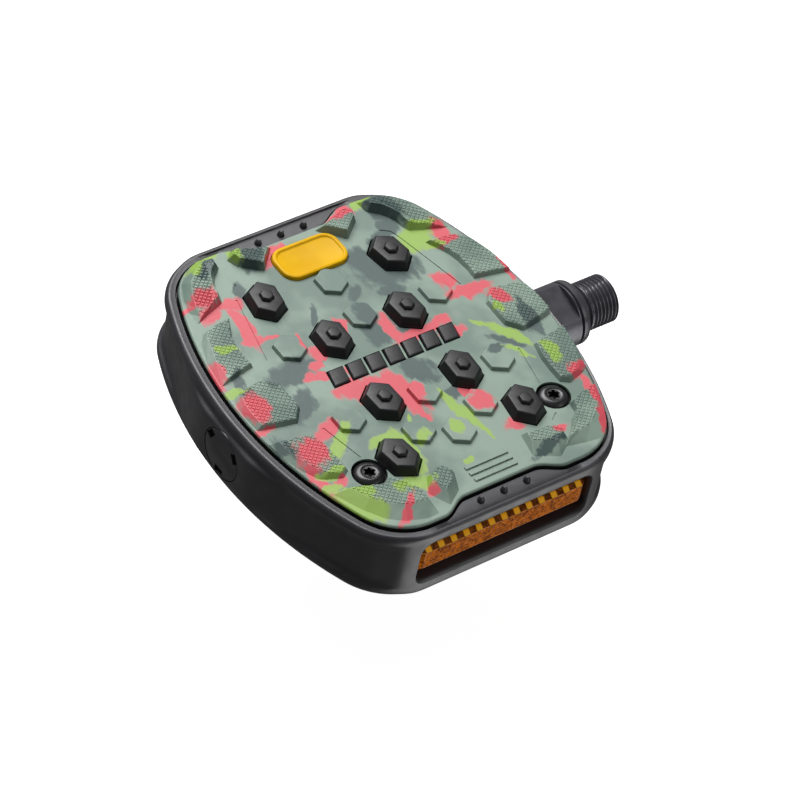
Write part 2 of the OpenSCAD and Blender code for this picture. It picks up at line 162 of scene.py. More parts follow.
# fine slits in the pad as lines of points
SIPES = [[(24.0, 41.0), (26.4, 39.4), (27.3, 36.8), (32.3, 13.6)],
         [(-24.2, 41.4), (-26.2, 39.2)],
         [(-27.2, 36.4), (-32.4, 13.8)],
         [(-32.6, -13.4), (-29.6, -26.6)],
         [(32.4, -13.6), (29.8, -26.6)],
         [(25.0, -39.4), (27.4, -37.6)]]

# print patches as (x, y, half length, half width, turn in degrees)
SLATE = [(17, 27.5, 9.5, 6.2, -12), (12.5, 33, 5.2, 4.2, 70), (-29, 6.5, 8, 4.2, 0), (-20, 8.4, 4, 2, 20),
         (-32.5, -4.5, 6, 2.8, 50), (2.8, -8, 4.2, 5.6, 0), (1, 8.5, 4.4, 4.6, 0), (1.2, 15.6, 3.2, 4.2, 0),
         (26.3, -11.3, 3.2, 1.8, 0), (31, -10, 5.8, 1.3, -48), (-29.3, 48.2, 4.8, 2.6, 40),
         (-15.5, 48, 3.8, 4.4, 0), (29.5, 47, 3.6, 6.4, 30), (4, 24, 3, 1.6, 40), (24, 40, 7, 2.6, 30),
         (8, 9, 4, 5, 0), (-11, 22, 4.4, 1.2, 60), (42, -6, 7, 2.2, 84), (-44, 8, 5.4, 1.8, 80),
         (7, -19, 5, 2, 20), (-25, 38, 4, 1.6, 70), (18, -47, 6, 1.6, 10), (-46, -16, 6, 1.6, 100),
         (14, 20, 3.6, 2.4, 0)]
PINK = [(-35.7, 39.8, 3.9, 2.6, 15), (-41, 38.6, 2.4, 1.0, 10), (-36.2, 35.0, 4.2, 2.5, 20),
        (-29.6, 35.6, 3.8, 2.3, -8), (-31, 27, 8, 2.0, 84), (-31, 21.6, 3.4, 1.8, -10),
        (-26.8, 20.2, 3, 0.9, -20), (-47.8, 14.2, 4.8, 2.0, 70), (-45.4, -0.6, 5.4, 3.4, 84),
        (-47, -7.4, 3, 0.9, -10), (-18.6, 9.8, 2.8, 2.6, 0), (-21.6, 6.0, 2.6, 1.8, 30),
        (-25.4, 2.6, 2.2, 1.5, 20), (-21.8, 2.2, 2.4, 1.2, 0), (-20.4, 15, 3, 0.7, 80),
        (-6.9, 14.6, 4.4, 1.6, 80), (-8.4, 46.0, 4.8, 2.0, 40), (17.4, 51.0, 4.6, 2.7, 20),
        (39.4, 33.6, 3.8, 2.8, 100), (37, 28.9, 4.2, 1.9, 10), (28.4, 16.6, 3.6, 3.0, -40),
        (33, 10.4, 6.8, 2.6, -6), (47.6, 13, 4, 0.9, 84), (39.4, 4.4, 3.8, 2.4, -50),
        (5, 8.5, 5.2, 2.6, 90), (13, 3.9, 10, 1.7, 4), (20, -0.2, 4.4, 2.2, 0), (-14, 0, 1.6, 2.6, 0),
        (-11.5, -8, 8.4, 4.6, -6), (-5.2, -12, 8.8, 3.2, 96), (-18, -5.6, 4.4, 2.8, 10),
        (-5, -21, 3, 1.0, 90), (-41, -20.2, 5.8, 4.4, 60), (-32.4, -14.4, 5, 2.0, 34),
        (-43.8, -30, 7.4, 1.7, 98), (-39.5, -31.4, 2.4, 1.4, 0), (-29, -48.2, 5.8, 1.2, 44),
        (-19.6, -44.8, 2, 1.4, 60), (11.0, -25.0, 3.7, 3.5, 0), (10.5, -20.2, 2, 1.9, 0),
        (14.5, -36, 3.0, 2.2, -30), (24.6, -43, 2.6, 1.5, 4), (42.2, -27.4, 3.2, 1.7, 20),
        (41.2, -36, 8, 1.9, 76), (37.4, -45, 5, 1.7, 56), (-2.4, -14, 3.4, 1.7, 110)]
LIME = [(-28.5, 53, 6.8, 1.9, 18), (-31.8, 49.4, 2.6, 1.6, 60), (-18.7, 50.2, 2.8, 1.7, 80),
        (-40.2, 21.6, 3.6, 1.5, -15), (-46.8, 7.0, 3.8, 1.1, -4), (-48.6, 8.4, 1.8, 0.7, 0),
        (31.4, 34, 5.0, 4.4, 10), (34.4, 37.4, 4.8, 2.0, -18), (34, 28.6, 3, 1.2, -10),
        (25.2, 52.6, 3.2, 2.2, 10), (28.6, -1.6, 3.2, 0.8, -50), (33.4, -8, 6.8, 2.1, -57),
        (31.8, -14.6, 4.6, 0.9, -52), (36, 1, 3, 0.9, 90), (39.2, -19.6, 4.6, 1.7, 96),
        (-32.2, -20, 6.4, 2.2, 42), (-27.6, -16.2, 2.6, 2.2, 0), (-40.4, -28.2, 3.6, 1.6, -6),
        (-39.0, -40.5, 7.4, 3.8, 116), (-42.4, -32.4, 2.6, 1.6, 0), (-35.4, -38, 3, 1.6, 120),
        (-20.5, -23.4, 5, 1.7, 10), (-15.9, -29.4, 7.8, 2.1, 96), (-17.4, -37.2, 3, 2.4, 40),
        (-22.5, -41, 6, 2.8, -8), (4.3, -24, 7, 1.7, 98), (5.9, -33, 3.6, 0.7, 100),
        (-0.2, -30.4, 2.4, 1.7, 60), (-10.8, -29, 2.8, 1.8, 30), (-9.4, -20.6, 2.4, 0.6, 60),
        (-4, -41, 2, 0.7, 20)]
# depth at which a print patch has its rim
EDGE = 0.3


# ---- mesh tools ----

def make(name, points, faces):
    """Object from points in millimetres about the platform's middle."""
    mesh = bpy.data.meshes.new(name)
    mesh.from_pydata([((x + MID_X) * MM, y * MM, z * MM) for x, y, z in points], [], faces)
    obj = bpy.data.objects.new(name, mesh)
    bpy.context.scene.collection.objects.link(obj)
    return obj


def loft(name, loops):
    """Capped skin over loops of equal length, which run counterclockwise about the way they advance."""
    n, last = len(loops[0]), len(loops) - 1
    faces = [[r * n + i, r * n + (i + 1) % n, (r + 1) * n + (i + 1) % n, (r + 1) * n + i]
             for r in range(last) for i in range(n)]
    faces.append(list(range(n))[::-1])
    faces.append([last * n + i for i in range(n)])
    return make(name, [p for loop in loops for p in loop], faces)


def prism(name, outline, z0, z1):
    """Upright solid over an outline."""
    return loft(name, [[(x, y, z) for x, y in outline] for z in (z0, z1)])


def around(n):
    """n angles, evenly spread over a full turn."""
    return [2 * math.pi * i / n for i in range(n)]


def hoops(profile):
    """Circles about the spindle's axis from (x, radius) pairs."""
    return [[(x, r * math.cos(a), r * math.sin(a)) for a in around(ROUND_N)] for x, r in profile]


def spun(name, profile, x, y, n=64, face=1):
    """Solid of revolution about the upright line through (x, y) from (radius, z) pairs, on either face."""
    return loft(name, [[(x + r * math.cos(a), face * (y + r * math.sin(a)), face * z) for a in around(n)]
                       for r, z in profile])


def applied(obj):
    """Bakes the modifiers of obj into its mesh."""
    graph = bpy.context.evaluated_depsgraph_get()
    mesh = bpy.data.meshes.new_from_object(obj.evaluated_get(graph))
    obj.modifiers.clear()
    old, obj.data = obj.data, mesh
    bpy.data.meshes.remove(old)
    return obj


def bevelled(obj, width):
    """Rounds the edges of obj that turn by more than 18 degrees."""
    modifier = obj.modifiers.new("bevel", "BEVEL")
    modifier.width, modifier.segments = width * MM, 2
    modifier.limit_method, modifier.angle_limit = "ANGLE", math.radians(18)
    modifier.use_clamp_overlap = True
    return applied(obj)


def joined(name, objects):
    """One object that holds the separate shells of all of these."""
    points, faces = [], []
    for o in objects:
        start = len(points)
        points += [v.co.copy() for v in o.data.vertices]
        faces += [[start + i for i in p.vertices] for p in o.data.polygons]
        bpy.data.objects.remove(o)
    mesh = bpy.data.meshes.new(name)
    mesh.from_pydata(points, [], faces)
    obj = bpy.data.objects.new(name, mesh)
    bpy.context.scene.collection.objects.link(obj)
    return obj


def combined(target, tools, operation):
    """target after the Boolean operation with each tool, which are used up."""
    for tool in tools:
        modifier = target.modifiers.new("cut", "BOOLEAN")
        modifier.operation, modifier.object, modifier.solver = operation, tool, "MANIFOLD"
        applied(target)
        bpy.data.objects.remove(tool)
    return target


def on_tread(objects):
    """Moves pieces drawn about the middle of the tread pattern to their place on the platform."""
    for obj in objects:
        obj.data.transform(Matrix.Translation((TREAD_X * MM, 0, 0)))
    return objects


def smoothed(obj, angle=32):
    """Smooth shading, with sharp edges where faces turn by more than that angle."""
    obj.data.shade_smooth()
    obj.data.set_sharp_from_angle(angle=math.radians(angle))
    return obj


def steps(a, b, n):
    """n even steps from a to b, with both ends."""
    return [a + (b - a) * i / n for i in range(n + 1)]


def ease(t):
    """Smooth rise from 0 to 1 as t goes from 0 to 1."""
    t = min(1.0, max(0.0, t))
    return t * t * (3 - 2 * t)


# ---- outlines ----

def step_back(x):
    """How far the pad's end steps back from the rim's straight end at x."""
    part = min(1.0, max(0.0, (abs(x) - LAND_IN) / (LAND_OUT - LAND_IN)))
    return LAND_HALF * (1 + math.cos(math.pi * part))


def ring(d, step=0.0):
    """Whole platform outline moved out by d, counterclockwise, with share step of the pad's step back."""
    q = [(SIDE_X + (SIDE_R + d) * math.cos(a), (SIDE_R + d) * math.sin(a)) for a in steps(0, TURN, 18)]
    q += [(CORNER_X + (CORNER_R + d) * math.cos(a), CORNER_Y + (CORNER_R + d) * math.sin(a))
          for a in steps(TURN, math.pi / 2, 16)[1:]]
    q += [(x, RIM_HL + d - step * step_back(x)) for x in steps(CORNER_X, 0, 28)[1:]]
    upper = q + [(-x, y) for x, y in reversed(q[:-1])]
    return upper + [(x, -y) for x, y in reversed(upper[1:-1])]


def bed_ring(d, step=1.0):
    """The outline for the pad and its bed, which reach further out towards the crank."""
    share = PAD_WIDE * min(1.0, max(0.0, (WIDE_FROM - d) / WIDE_OVER)) / RIM_HW
    return [(x + share * max(0.0, x), y) for x, y in ring(d, step)]


def hexagon(a, b):
    """Stretched hexagon of half width a and half length b."""
    shoulder = 0.52 * b
    return [(a, -shoulder), (a, shoulder), (0, b), (-a, shoulder), (-a, -shoulder), (0, -b)]


def placed(outline, x, y, turn=0.0):
    """The outline turned by turn degrees and moved to (x, y)."""
    c, s = math.cos(math.radians(turn)), math.sin(math.radians(turn))
    return [(x + c * u - s * v, y + s * u + c * v) for u, v in outline]


def rounded(w, h, r, n=6):
    """Rectangle of half sizes w and h with corner radius r."""
    corners = [(w - r, h - r, 0), (r - w, h - r, 90), (r - w, r - h, 180), (w - r, r - h, 270)]
    return [(cx + r * math.cos(math.radians(a)), cy + r * math.sin(math.radians(a)))
            for cx, cy, a0 in corners for a in steps(a0, a0 + 90, n)]


def ribbon(points, width):
    """Outline of a line of points drawn with that width."""
    left, right = [], []
    for i, (x, y) in enumerate(points):
        ax, ay = points[max(0, i - 1)]
        bx, by = points[min(len(points) - 1, i + 1)]
        long = math.hypot(bx - ax, by - ay)
        nx, ny = -(by - ay) / long * width / 2, (bx - ax) / long * width / 2
        left.append((x + nx, y + ny))
        right.append((x - nx, y - ny))
    return right + left[::-1]


def mirrored(outline, side):
    """The outline itself on side 1, or its mirror image, still counterclockwise, on side -1."""
    return list(outline) if side > 0 else [(-p[0], *p[1:]) for p in reversed(outline)]


# ---- body ----

# rim section from the pad's bed outward: (offset from the outline, height, share of the pad's step back)
RIM_SECTION = [(-2.9, DECK_Z, 1), (-2.9, 10.9, 1), (-2.84, 11.15, 1), (-2.72, 11.28, 1), (-2.7, 11.3, 0),
               (-1.6, 11.34, 0), (-1.3, 11.4, 0), (-1.0, 11.36, 0), (-0.65, 11.12, 0), (-0.32, 10.7, 0),
               (-0.1, 10.2, 0), (0, 9.7, 0), (0, 9.2, 0)]
# side wall below it: (share of the way from the rim's face to the wall, height)
WALL_SECTION = [(0.02, 8.75), (0.12, 8.45), (0.35, 8.15), (0.65, 7.9), (0.88, 7.6),
                (1, 7.2), (1, 5), (1, 2.5), (1, 0)]
# the squarer rim over the windows, as section point: (offset from the outline, height)
SQUARE_RIM = {8: (-0.5, 11.3), 9: (-0.22, 11.12), 10: (-0.06, 10.8), 11: (0, 10.3)}
# section point and depth of the crease that parts the wide end land from the rim's bead
CREASE_AT, CREASE = 5, 0.42
# how far the side wall lies inside the rim's face, half of its swelling and that swelling's half length
WALL_IN, SWELL, SWELL_HL = 1.3, 1.8, 40
# half widths to which the flush face, the squarer rim and the crease reach, and how far they fade out
FLUSH_HW, SQUARE_HW, CREASE_HW, FADE, CREASE_FADE = 37, 33, 26, 6, 4


def swollen(y):
    """Half width of the side wall over the spindle housing."""
    plain = SIDE_X + math.sqrt((SIDE_R - WALL_IN) ** 2 - y * y)
    return min(HOUSING_X, plain + SWELL * (1 + math.cos(math.pi * min(SWELL_HL, abs(y)) / SWELL_HL)))


def wall_ring():
    """Outline of the wall below the rim, which runs flush with the rim's face along the straight ends."""
    points = []
    for (bx, by), (fx, fy) in zip(ring(-WALL_IN), ring(-FACE_IN)):
        flush = ease((FLUSH_HW - abs(bx)) / FADE) if abs(by) > END_Y else 0.0
        x, y = bx + (fx - bx) * flush, by + (fy - by) * flush
        if abs(y) < SWELL_HL:
            x = math.copysign(swollen(y), x)
        points.append((x, y))
    return points


def body_loops():
    """Loops over the top half of the body, from the pad's bed out and down to the middle."""
    loops = []
    for k, (d, z, step) in enumerate(RIM_SECTION):
        loop = [(x, y, z) for x, y in bed_ring(d, step)]
        if k == CREASE_AT:
            loop = [(x, y, z - CREASE * ease((CREASE_HW - abs(x)) / CREASE_FADE) * (abs(y) > END_Y))
                    for x, y, z in loop]
        loops.append(loop)
    squared(loops)
    face, wall = ring(0), wall_ring()
    for t, z in WALL_SECTION:
        loops.append([(fx + (wx - fx) * t, fy + (wy - fy) * t, z) for (fx, fy), (wx, wy) in zip(face, wall)])
    return loops


def squared(loops):
    """Tightens the rim's outer rounding along the straight ends, over the reflector windows."""
    for k, (d, z) in SQUARE_RIM.items():
        for i, ((x, y, z0), (tx, ty)) in enumerate(zip(loops[k], bed_ring(d, 0))):
            w = ease((SQUARE_HW - abs(x)) / FADE) * (abs(y) > END_Y)
            loops[k][i] = (x + (tx - x) * w, y + (ty - y) * w, z0 + (z - z0) * w)


def window_tool(side):
    """Cutter for a reflector window whose front edge is rounded."""
    bend = RIM_HL - FACE_IN - WINDOW_EDGE
    shape = [(0.0, WINDOW_FLOOR), (0.0, bend)]
    shape += [(WINDOW_EDGE * (1 - math.cos(a)), bend + WINDOW_EDGE * math.sin(a))
              for a in steps(0.3, math.pi / 2, 5)]
    shape.append((WINDOW_EDGE, RIM_HL + 2))
    loops = [[(side * x, -side * depth, z)
              for x, z in rounded(WINDOW_HW + grow, WINDOW_HH + grow, WINDOW_R + grow)]
             for grow, depth in shape]
    return loft("window", loops)


def stud(x, y, turn, face):
    """Tapered six-sided stud and the nub on top of it."""
    sections = [(STUD_A, STUD_B, ROOT_Z), (STUD_A - 0.05, STUD_B - 0.05, 13.0), (4.0, 6.15, 15.25),
                (3.75, 5.8, 15.5)]
    nub = [(1.95, 2.35, 15.2), (1.85, 2.25, 15.9), (1.55, 1.9, TIP_Z - 0.1), (1.4, 1.7, TIP_Z)]
    parts = []
    for name, shape in (("stud", sections), ("nub", nub)):
        loops = [[(u, face * v, face * z) for u, v in placed(hexagon(a, b), x, y, turn)] for a, b, z in shape]
        parts.append(loft(name, loops))
    bevelled(parts[0], 0.22)
    bevelled(parts[1], 0.16)
    return parts


def pip(x, y, face):
    """Small pip on an end land."""
    return spun("pip", [(1.15, 11.0), (1.1, 11.4), (0.9, 12.1), (0.62, 12.75), (0.4, 12.95)], x, y, 20, face)


def bar_outline(i, grow=0.0):
    """Slanted outline of bar number i."""
    x = (i - (BAR_N - 1) / 2) * BAR_PITCH
    far, near, high = BAR_HW + grow, BAR_HW - BAR_SLANT + grow, BAR_HH + grow
    return [(x - far, -high), (x + near, -high), (x + far, high), (x - near, high)]


def bar(i, face):
    """Slanted bar with a slightly rounded top."""
    loops = [[(x, face * y, face * z) for x, y in bar_outline(i, grow)]
             for grow, z in ((0, ROOT_Z), (0, 12.95), (-0.18, 13.2), (-0.4, 13.25))]
    return loft("bar", loops)


def build_body():
    """Platform shell with its studs, bars and pips on both faces, its windows and its bore."""
    top = body_loops()
    bottom = [[(x, y, -z) for x, y, z in loop] for loop in top[:-1]]
    body = loft("platform_shell", bottom + top[::-1])
    for face in (1, -1):
        adds = [part for x, y, turn in STUDS for part in stud(x, y, turn, face)]
        adds += [bar(i, face) for i in range(BAR_N)]
        adds = on_tread(adds) + [pip(x, side * PIP_Y, face) for x in PIP_X for side in (1, -1)]
        combined(body, adds, "UNION")
        holes = [spun("hole", [(3.02, 1.4), (3.02, CLEAR_Z)], x, y, face=face) for x, y in SCREWS]
        combined(body, on_tread(holes), "DIFFERENCE")
    bore = loft("bore", hoops([(-60, 7.82), (-48.45, 7.82), (-48.45, 7.52), (-34.4, 7.52), (-34.4, 6.4),
                               (34.0, 6.4), (34.0, 7.52), (50.0, 7.52), (50.0, 8.22), (60, 8.22)]))
    return smoothed(combined(body, [window_tool(1), window_tool(-1), bore], "DIFFERENCE"))


# ---- pads ----

def widened(side, outline):
    """A lug's outline drawn out with the pad's edge, which lies further out on the crank side."""
    draw, begin, over = 1.3, 39, 5
    return [(p[0] + draw * ease((p[0] - begin) / over) * (side > 0), *p[1:]) for p in outline]


def flat_foot(top, foot):
    """The foot outline moved so that each wall leaves the top's edge at one slope and stays flat."""
    normals, widths = [], []
    for i, (x, y, _) in enumerate(top):
        j = (i + 1) % len(top)
        long = math.hypot(top[j][0] - x, top[j][1] - y)
        nx, ny = (top[j][1] - y) / long, (x - top[j][0]) / long
        normals.append((nx, ny))
        widths.append(sum((foot[k][0] - x) * nx + (foot[k][1] - y) * ny for k in (i, j)) / 2)
    result = []
    for i, (x, y, _) in enumerate(top):
        (ax, ay), (bx, by), wa, wb = normals[i - 1], normals[i], widths[i - 1], widths[i]
        det = ax * by - ay * bx
        if abs(det) > 0.3:
            mx, my = (wa * by - wb * ay) / det, (ax * wb - bx * wa) / det
        else:
            size = math.hypot(ax + bx, ay + by) / ((wa + wb) / 2)
            mx, my = (ax + bx) / size, (ay + by) / size
        shrink = min(1.0, 1.7 * max(wa, wb) / math.hypot(mx, my))
        result.append((x + mx * shrink, y + my * shrink))
    return result


def lug(side, top, foot):
    """Tread lug with its walls and a plain top."""
    base = [(x, y, FOOT_Z) for x, y in mirrored(foot, side)]
    return bevelled(loft("lug", [base, mirrored(top, side)]), 0.2)


def knurl(side, top):
    """Small flat-topped diamonds all over a lug's top."""
    pitch_x, pitch_y, half_x, half_y, rise = 1.7, 1.46, 0.82, 0.70, 0.18
    outline = mirrored(top, side)
    tree = BVHTree.FromPolygons([Vector(p) for p in outline], [list(range(len(outline)))])
    xs, ys = [p[0] for p in outline], [p[1] for p in outline]
    points, faces = [], []
    for j in range(int(min(ys) / pitch_y * 2) - 2, int(max(ys) / pitch_y * 2) + 3):
        for i in range(int(min(xs) / pitch_x) - 2, int(max(xs) / pitch_x) + 3):
            x, y = (i + 0.5 * (j % 2)) * pitch_x, j * pitch_y / 2
            corners = [(half_x * u, half_y * v) for u, v in ((1, 0), (0, 1), (-1, 0), (0, -1))]
            hits = [tree.ray_cast(Vector((x + u, y + v, 30)), Vector((0, 0, -1)))[0] for u, v in corners]
            known = [h.z for h in hits if h]
            if len(known) < 2:
                continue
            z = sum(known) / len(known)
            heights = [h.z if h else z for h in hits]
            start = len(points)
            for size, lift in ((1.0, -0.3), (0.999, -0.02), (0.5, rise)):
                points += [(x + u * size, y + v * size, z + lift + (h - z) * size)
                           for (u, v), h in zip(corners, heights)]
            for k in range(8):
                a, b = start + k, start + k // 4 * 4 + (k + 1) % 4
                faces.append([a, b, b + 4, a + 4])
            faces.append([start + 3, start + 2, start + 1, start])
            faces.append([start + 8, start + 9, start + 10, start + 11])
    centre = (sum(xs) / len(xs), sum(ys) / len(ys))
    inset = [(x + (centre[0] - x) * 0.02, y + (centre[1] - y) * 0.02) for x, y, _ in outline]
    return combined(make("knurl", points, faces), [prism("trim", inset, 10, CLEAR_Z)], "INTERSECT")


def pad_cell(x, y):
    """Small six-sided lug."""
    loops = [[(u, v, z) for u, v in placed(hexagon(a, b), x, y)]
             for a, b, z in ((4.35, 5.4, FOOT_Z), (4.2, 5.25, 12.7), (3.85, 4.85, CELL_Z))]
    return bevelled(loft("cell", loops), 0.2)


def build_pad(name):
    """Tread pad with its lugs, ribs and knurl, cut out round everything that comes through it."""
    slab = loft(name, [[(x, y, z) for x, y in bed_ring(d)] for d, z in
                       ((PAD_EDGE, DECK_Z + 0.03), (PAD_EDGE, 12.0), (PAD_EDGE - 0.1, FOOT_Z),
                        (PAD_EDGE - 0.34, 12.55), (PAD_EDGE - 0.65, PAD_Z))])
    placed_lugs = [(side, widened(side, top), widened(side, flat_foot(top, foot)))
                   for sides, top, foot in LUGS for side in sides]
    lugs = on_tread([lug(*each) for each in placed_lugs])
    for each in lugs:
        combined(each, [prism("edge", bed_ring(PAD_EDGE - 0.35), 10, CLEAR_Z)], "INTERSECT")
    adds = [pad_cell(x, y) for x, y in CELLS]
    for y in RIB_Y:
        outline = [(-RIB_HW, y), (RIB_HW, y), (RIB_HW, y + RIB_W), (-RIB_HW, y + RIB_W)]
        adds.append(bevelled(prism("rib", outline, FOOT_Z, 13.1), 0.15))
    adds += [knurl(side, top) for side, top, _ in placed_lugs]
    combined(slab, lugs + on_tread(adds), "UNION")
    stud_hole = hexagon(STUD_A + STUD_PLAY, STUD_B + STUD_PLAY)
    cuts = [prism("hole", placed(stud_hole, x, y, turn), 8, CLEAR_Z) for x, y, turn in STUDS]
    cuts += [prism("slot", bar_outline(i, 0.45), 8, CLEAR_Z) for i in range(BAR_N)]
    cuts += [prism("sipe", ribbon(line, 0.5), PAD_Z - 0.22, CLEAR_Z) for line in SIPES]
    cuts += [spun("bore", [(2.15, 8), (2.15, 10.6), (4.9, 10.6), (4.9, CLEAR_Z)], x, y) for x, y in SCREWS]
    cuts.append(prism("seat", plate_outline(PLATE_PLAY, PLATE_R + 0.2), 11.4, CLEAR_Z))
    return combined(slab, on_tread(cuts), "DIFFERENCE")


def plate_outline(grow, corner):
    """Outline of the plate grown by that much, with that corner radius."""
    return placed(rounded(PLATE_HW + grow, PLATE_HH + grow, corner), *PLATE_SPOT)


def build_plate(name):
    """Plain plate with a raised border."""
    shape = [(-0.25, 11.45), (0, 11.7), (0, 13.2), (-0.2, 13.65), (-0.55, 13.85), (-1.0, 13.85),
             (-1.25, 13.7), (-1.45, 13.4), (-1.8, 13.3)]
    loops = [[(x, y, z) for x, y in plate_outline(grow, PLATE_R + 0.9 * grow)] for grow, z in shape]
    return smoothed(on_tread([loft(name, loops)])[0])


def build_screws(name):
    """Round-headed screws with a six-lobed socket."""
    shape = [(1.9, 2.4), (1.98, 2.6), (1.98, 10.63), (4.25, 10.63), (4.4, 10.8), (4.4, 11.7), (4.28, 12.1),
             (3.95, 12.55), (3.4, 12.95), (2.85, 13.18), (2.7, 13.2), (2.45, 13.2), (2.25, 13.05),
             (1.95, 13.0)]
    heads = []
    for x, y in SCREWS:
        lobes = [(a, 1.5 + 0.26 * math.cos(6 * a)) for a in around(72)]
        star = prism("star", [(x + r * math.cos(a), y + r * math.sin(a)) for a, r in lobes], 11.2, CLEAR_Z)
        heads.append(combined(spun("head", shape, x, y), [star], "DIFFERENCE"))
    return smoothed(on_tread([joined(name, heads)])[0])


# ---- reflectors, cap and spindle ----

def build_lens(name):
    """Reflector lens with bevelled edges, blocks along its upper bevel and a field of small prisms."""
    shape = [(0.0, 51.5), (0.0, 55.1), (-1.1, 56.0), (-1.2, 56.05)]
    lens = loft(name, [[(x, -depth, z) for x, z in rounded(LENS_HW + g, LENS_HH + g, 1 + 0.3 * g)]
                       for g, depth in shape])
    adds = []
    block = [(-55.1, 4.0), (-54.4, 3.6), (-55.6, 2.7), (-56.2, 2.9), (-56.2, 3.2)]
    for i in range(LENS_BLOCKS):
        x = (i - LENS_BLOCKS // 2) * LENS_PITCH
        adds.append(loft("block", [[(u, y, z) for y, z in block] for u in (x - 1.05, x + 1.05)]))
    corners = ((0.66, -0.5), (0.66, 0.5), (-0.66, 0.5), (-0.66, -0.5))
    rows, columns = 5, 35
    for j in range(rows):
        for i in range(columns):
            x, z = (i - columns // 2) * 1.46, (j - rows // 2) * 1.12
            adds.append(loft("prism", [[(x + u * size, -depth, z + v * size) for u, v in corners]
                                       for size, depth in ((1, 55.8), (1, 56.06), (0.25, 56.28))]))
    return combined(lens, adds, "UNION")


def build_cap(name):
    """Dust cap with three tool notches."""
    face = -HOUSING_X
    cap = loft(name, hoops([(face, 7.35), (face + 0.12, 7.58), (face + 0.35, 7.7), (-50.9, 7.7),
                            (-50.9, 7.1), (-50.5, 7.1), (-50.5, 6.5), (-49.1, 6.5), (-49.1, 7.1),
                            (-48.5, 7.1), (-48.5, 5.9), (-51.2, 5.9), (-51.2, 0.2)]))
    near, far, half = 5.2, 7.3, 1.7
    cuts = []
    for turn in (30, 150, 270):
        loop = placed([(near, -half), (far, -half), (far, half), (near, half)], 0, 0, turn)
        cuts.append(loft("notch", [[(x, y, z) for y, z in loop] for x in (face - 1, -51.9)]))
    return smoothed(combined(cap, cuts, "DIFFERENCE"))


def thread(x0, x1, crest, depth, pitch):
    """Loops of a screw thread about the spindle's axis from x0 to x1."""
    per_turn = 16
    loops = []
    for x in steps(x0, x1, int((x1 - x0) / pitch * per_turn)):
        fade = ease((x - x0) / 0.9) * ease((x1 - x) / 0.5)
        loop = []
        for i, a in enumerate(around(ROUND_N)):
            along = ((x - x0) / pitch + i / ROUND_N) % 1.0
            groove = max(0.0, 1 - abs(along - 0.5) / 0.42)
            r = crest - depth * min(1.0, groove * 1.15) * fade
            loop.append((x, r * math.cos(a), r * math.sin(a)))
        loops.append(loop)
    return loops


def build_spindle(name):
    """Spindle with its flange, wrench flats and crank thread."""
    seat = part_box("spindle")[1].x / MM - MID_X - THREAD_L
    loops = hoops([(-46.4, 2.6), (-46.1, 2.98), (-35, 2.98), (-35, 4.2), (-32, 4.2), (-32, 4.4), (33, 5.4),
                   (33, 5.5), (49.9, 5.5), (49.9, 6.5), (53.9, 6.5), (53.9, 9.2), (54.2, 9.5),
                   (seat - 3.35, 9.5), (seat - 3.25, 9.3), (seat - 3.15, 8.75), (seat - 2.65, 8.75),
                   (seat - 2.55, 9.3), (seat - 2.4, 9.5), (seat - 0.9, 9.5), (seat - 0.45, 9.32),
                   (seat - 0.12, 8.95), (seat, 8.6), (seat, 6.4), (seat + 1.7, 6.4), (seat + 2.1, 6.9)])
    loops += thread(seat + 2.15, seat + 11.4, 7.14, 0.72, 1.27)
    loops += hoops([(seat + 11.75, 6.75), (seat + THREAD_L, 6.4), (seat + THREAD_L, 2.2), (seat + 10.4, 0.3)])
    spindle = loft(name, loops)
    tilt = Matrix.Rotation(math.radians(14), 4, "X")
    flats = []
    for s in (1, -1):
        corners = ((53, -12 * s), (seat - 3.7, -12 * s), (seat - 3.7, 12 * s), (53, 12 * s))
        block = loft("flat", [[(x, y, s * z) for x, y in corners] for z in (7.5, 12)])
        block.data.transform(tilt)
        flats.append(block)
    return smoothed(combined(spindle, flats, "DIFFERENCE"), 28)


# ---- materials ----

